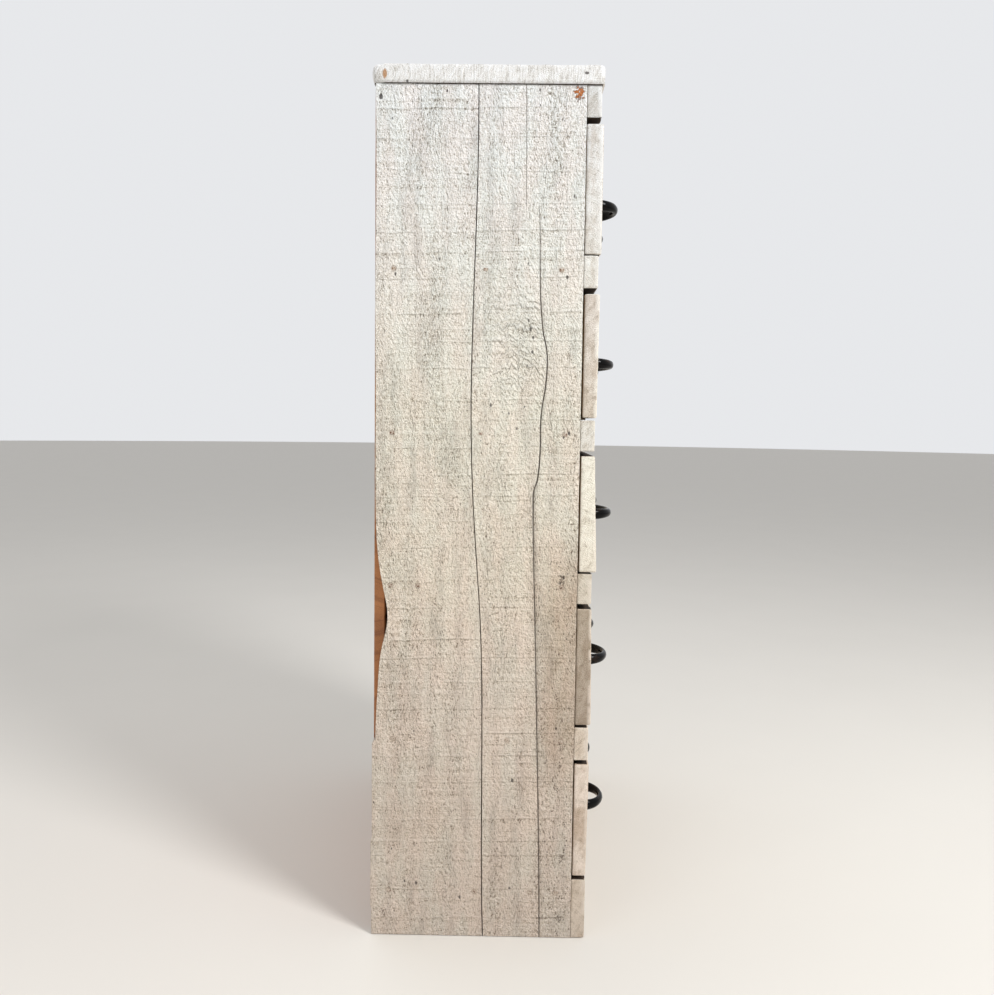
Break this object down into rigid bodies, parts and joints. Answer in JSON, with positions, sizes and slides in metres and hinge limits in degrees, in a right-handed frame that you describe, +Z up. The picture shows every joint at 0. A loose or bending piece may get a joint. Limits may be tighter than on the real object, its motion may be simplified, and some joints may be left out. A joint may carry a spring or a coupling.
{
  "type": "chest of drawers",
  "caption": "Tall narrow bank of small drawers in rough-sawn boards: wavy-edged plank sides, nailed rails, overlaid fronts with iron bow pulls, each drawer sliding on bearers.",
  "frame": {"origin": "middle of the bounding box on the floor", "axes": "+Z up, the drawers open towards -Y, the width runs along X"},
  "size_m": [0.696, 0.369, 1.3],
  "materials": {
    "painted_wood": "worn off-white paint on rough-sawn softwood, matt",
    "bare_wood": "bare aged softwood, dry and matt",
    "back_wood": "unpainted orange-brown softwood boards, matt",
    "pull_iron": "black iron, worn to a dull sheen",
    "nail_iron": "dark rusted cut nails"
  },
  "bodies": {
    "carcass": {"left_side_rear_board": "painted_wood", "left_side_front_board": "painted_wood", "right_side_rear_board": "painted_wood", "right_side_front_board": "painted_wood", "partitions": "bare_wood", "drawer_bearers": "bare_wood", "top_rail": "painted_wood", "rail_under_row_1": "painted_wood", "rail_under_row_2": "painted_wood", "rail_under_row_3": "painted_wood", "rail_under_row_4": "painted_wood", "bottom_rail": "painted_wood", "top_board": "painted_wood", "back_boards": "back_wood", "nails": "nail_iron"},
    "drawer_row_1_column_1": {"drawer_front_row_1_column_1": "painted_wood", "drawer_box_row_1_column_1": "bare_wood", "pull_row_1_column_1": "pull_iron"},
    "drawer_row_1_column_2": {"drawer_front_row_1_column_2": "painted_wood", "drawer_box_row_1_column_2": "bare_wood", "pull_row_1_column_2": "pull_iron"},
    "drawer_row_1_column_3": {"drawer_front_row_1_column_3": "painted_wood", "drawer_box_row_1_column_3": "bare_wood", "pull_row_1_column_3": "pull_iron"},
    "drawer_row_2_column_1": {"drawer_front_row_2_column_1": "painted_wood", "drawer_box_row_2_column_1": "bare_wood", "pull_row_2_column_1": "pull_iron"},
    "drawer_row_2_column_2": {"drawer_front_row_2_column_2": "painted_wood", "drawer_box_row_2_column_2": "bare_wood", "pull_row_2_column_2": "pull_iron"},
    "drawer_row_2_column_3": {"drawer_front_row_2_column_3": "painted_wood", "drawer_box_row_2_column_3": "bare_wood", "pull_row_2_column_3": "pull_iron"},
    "drawer_row_3_column_1": {"drawer_front_row_3_column_1": "painted_wood", "drawer_box_row_3_column_1": "bare_wood", "pull_row_3_column_1": "pull_iron"},
    "drawer_row_3_column_2": {"drawer_front_row_3_column_2": "painted_wood", "drawer_box_row_3_column_2": "bare_wood", "pull_row_3_column_2": "pull_iron"},
    "drawer_row_3_column_3": {"drawer_front_row_3_column_3": "painted_wood", "drawer_box_row_3_column_3": "bare_wood", "pull_row_3_column_3": "pull_iron"},
    "drawer_row_4_column_1": {"drawer_front_row_4_column_1": "painted_wood", "drawer_box_row_4_column_1": "bare_wood", "pull_row_4_column_1": "pull_iron"},
    "drawer_row_4_column_2": {"drawer_front_row_4_column_2": "painted_wood", "drawer_box_row_4_column_2": "bare_wood", "pull_row_4_column_2": "pull_iron"},
    "drawer_row_4_column_3": {"drawer_front_row_4_column_3": "painted_wood", "drawer_box_row_4_column_3": "bare_wood", "pull_row_4_column_3": "pull_iron"},
    "drawer_row_5_column_1": {"drawer_front_row_5_column_1": "painted_wood", "drawer_box_row_5_column_1": "bare_wood", "pull_row_5_column_1": "pull_iron"},
    "drawer_row_5_column_2": {"drawer_front_row_5_column_2": "painted_wood", "drawer_box_row_5_column_2": "bare_wood", "pull_row_5_column_2": "pull_iron"},
    "drawer_row_5_column_3": {"drawer_front_row_5_column_3": "painted_wood", "drawer_box_row_5_column_3": "bare_wood", "pull_row_5_column_3": "pull_iron"}
  },
  "joints": [
    {"name": "slide_row_1_column_1", "type": "slide", "parent": "carcass", "child": "drawer_row_1_column_1", "axis": [0, -1, 0], "range_m": [-0.0003, 0.24]},
    {"name": "slide_row_1_column_2", "type": "slide", "parent": "carcass", "child": "drawer_row_1_column_2", "axis": [0, -1, 0], "range_m": [-0.0003, 0.24]},
    {"name": "slide_row_1_column_3", "type": "slide", "parent": "carcass", "child": "drawer_row_1_column_3", "axis": [0, -1, 0], "range_m": [-0.0003, 0.24]},
    {"name": "slide_row_2_column_1", "type": "slide", "parent": "carcass", "child": "drawer_row_2_column_1", "axis": [0, -1, 0], "range_m": [-0.0022, 0.24]},
    {"name": "slide_row_2_column_2", "type": "slide", "parent": "carcass", "child": "drawer_row_2_column_2", "axis": [0, -1, 0], "range_m": [-0.0003, 0.24]},
    {"name": "slide_row_2_column_3", "type": "slide", "parent": "carcass", "child": "drawer_row_2_column_3", "axis": [0, -1, 0], "range_m": [-0.0003, 0.24]},
    {"name": "slide_row_3_column_1", "type": "slide", "parent": "carcass", "child": "drawer_row_3_column_1", "axis": [0, -1, 0], "range_m": [-0.0017, 0.24]},
    {"name": "slide_row_3_column_2", "type": "slide", "parent": "carcass", "child": "drawer_row_3_column_2", "axis": [0, -1, 0], "range_m": [-0.0003, 0.24]},
    {"name": "slide_row_3_column_3", "type": "slide", "parent": "carcass", "child": "drawer_row_3_column_3", "axis": [0, -1, 0], "range_m": [-0.0003, 0.24]},
    {"name": "slide_row_4_column_1", "type": "slide", "parent": "carcass", "child": "drawer_row_4_column_1", "axis": [0, -1, 0], "range_m": [-0.0003, 0.24]},
    {"name": "slide_row_4_column_2", "type": "slide", "parent": "carcass", "child": "drawer_row_4_column_2", "axis": [0, -1, 0], "range_m": [-0.0003, 0.24]},
    {"name": "slide_row_4_column_3", "type": "slide", "parent": "carcass", "child": "drawer_row_4_column_3", "axis": [0, -1, 0], "range_m": [-0.0003, 0.24]},
    {"name": "slide_row_5_column_1", "type": "slide", "parent": "carcass", "child": "drawer_row_5_column_1", "axis": [0, -1, 0], "range_m": [-0.0012, 0.24]},
    {"name": "slide_row_5_column_2", "type": "slide", "parent": "carcass", "child": "drawer_row_5_column_2", "axis": [0, -1, 0], "range_m": [-0.0003, 0.24]},
    {"name": "slide_row_5_column_3", "type": "slide", "parent": "carcass", "child": "drawer_row_5_column_3", "axis": [0, -1, 0], "range_m": [-0.0003, 0.24]}
  ]
}
